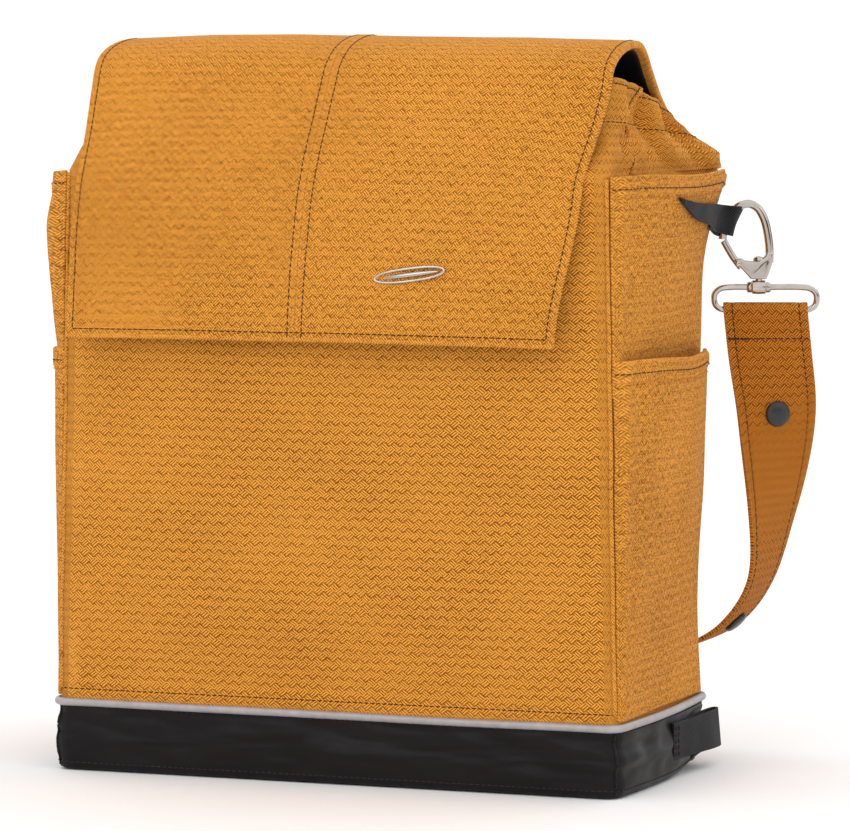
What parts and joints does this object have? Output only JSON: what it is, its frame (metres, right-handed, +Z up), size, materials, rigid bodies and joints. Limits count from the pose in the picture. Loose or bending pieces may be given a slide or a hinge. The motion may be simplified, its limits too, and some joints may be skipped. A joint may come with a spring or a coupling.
{
  "type": "pushchair changing bag",
  "caption": "Upright soft changing bag with a padded flap, tapered neck, side pockets, a black base boot and a shoulder strap clipped to webbing loops by swivel snap hooks.",
  "frame": {"origin": "centre of the flat underside of the base", "axes": "+Z up, -Y out of the front with the flap, +X to the bag's right as seen from the front"},
  "size_m": [0.4744, 0.2461, 0.432],
  "materials": {
    "fabric": "melange broken twill in mustard, matt, with dark brown stitching",
    "lining": "black smooth lining cloth",
    "boot": "black coated nylon with a soft sheen",
    "webbing": "black ribbed twill webbing",
    "piping": "grey reflective tape sewn round a cord",
    "hook_metal": "polished nickel plating",
    "cap": "black lacquered press studs, satin",
    "board": "plain plastic board",
    "foam": "thin stiffening foam sheet",
    "magnet": "plain plated disc magnets"
  },
  "bodies": {
    "root": {"base_bottom": "boot", "boot_front": "boot", "boot_back": "boot", "boot_left": "boot", "boot_right": "boot", "base_board": "board", "reflective_piping": "piping", "front_panel": "fabric", "back_panel": "fabric", "side_panel_left": "fabric", "side_panel_right": "fabric", "neck_front": "fabric", "neck_back": "fabric", "neck_left": "fabric", "neck_right": "fabric", "lining": "lining", "upper_pocket_left": "fabric", "upper_pocket_right": "fabric", "lower_pocket_left": "fabric", "lower_pocket_right": "fabric", "panel_magnet_left": "magnet", "panel_magnet_right": "magnet", "loop_root_left": "webbing", "loop_root_right": "webbing", "lower_loop_left": "webbing", "lower_loop_right": "webbing"},
    "flap_top": {"flap_top_left": "fabric", "flap_top_right": "fabric", "flap_top_stiffener": "foam", "flap_top_lining": "lining"},
    "flap_front": {"flap_front_left": "fabric", "flap_front_right": "fabric", "flap_front_stiffener": "foam", "flap_front_lining": "lining", "flap_magnet_left": "magnet", "flap_magnet_right": "magnet", "badge": "hook_metal"},
    "strap": {"strap_web": "fabric", "strap_ring_left": "hook_metal", "strap_ring_right": "hook_metal", "loop_tip_left": "webbing", "loop_tip_right": "webbing", "snap_cap_upper_left": "cap", "snap_cap_upper_right": "cap", "snap_cap_lower_left": "cap", "snap_cap_lower_right": "cap", "snap_socket_left": "cap", "snap_socket_right": "cap", "snap_stud_left": "cap", "snap_stud_right": "cap"},
    "hook_left": {"snap_hook_left": "hook_metal", "gate_pin_left": "hook_metal"},
    "hook_right": {"snap_hook_right": "hook_metal", "gate_pin_right": "hook_metal"},
    "gate_left": {"gate_left": "hook_metal"},
    "gate_right": {"gate_right": "hook_metal"}
  },
  "joints": [
    {"name": "flap_lift", "type": "hinge", "parent": "root", "child": "flap_top", "pos_m": [0, 0.0615, 0.391], "axis": [-1, 0, 0], "range_deg": [0, 150]},
    {"name": "flap_tip", "type": "hinge", "parent": "flap_top", "child": "flap_front", "pos_m": [0, -0.062, 0.418], "axis": [-1, 0, 0], "range_deg": [0, 90]},
    {"name": "strap_swing", "type": "hinge", "parent": "root", "child": "strap", "pos_m": [0, 0.092, 0.3225], "axis": [1, 0, 0], "range_deg": [0, 95]},
    {"name": "hook_swivel_right", "type": "hinge", "parent": "strap", "child": "hook_right", "pos_m": [0.203, 0.098, 0.29], "axis": [0, 0, 1], "range_deg": [-5, 5]},
    {"name": "hook_swivel_left", "type": "hinge", "parent": "strap", "child": "hook_left", "pos_m": [-0.203, 0.098, 0.29], "axis": [0, 0, 1], "range_deg": [-5, 5]},
    {"name": "gate_swing_right", "type": "hinge", "parent": "hook_right", "child": "gate_right", "pos_m": [0.19116, 0.09369, 0.2982], "axis": [-0.342, 0.9397, 0], "range_deg": [0, 20], "stiffness_Nm_per_rad": 0.05, "springref_deg": -17.19},
    {"name": "gate_swing_left", "type": "hinge", "parent": "hook_left", "child": "gate_left", "pos_m": [-0.19116, 0.09369, 0.2982], "axis": [-0.342, -0.9397, 0], "range_deg": [0, 20], "stiffness_Nm_per_rad": 0.05, "springref_deg": -17.19}
  ]
}
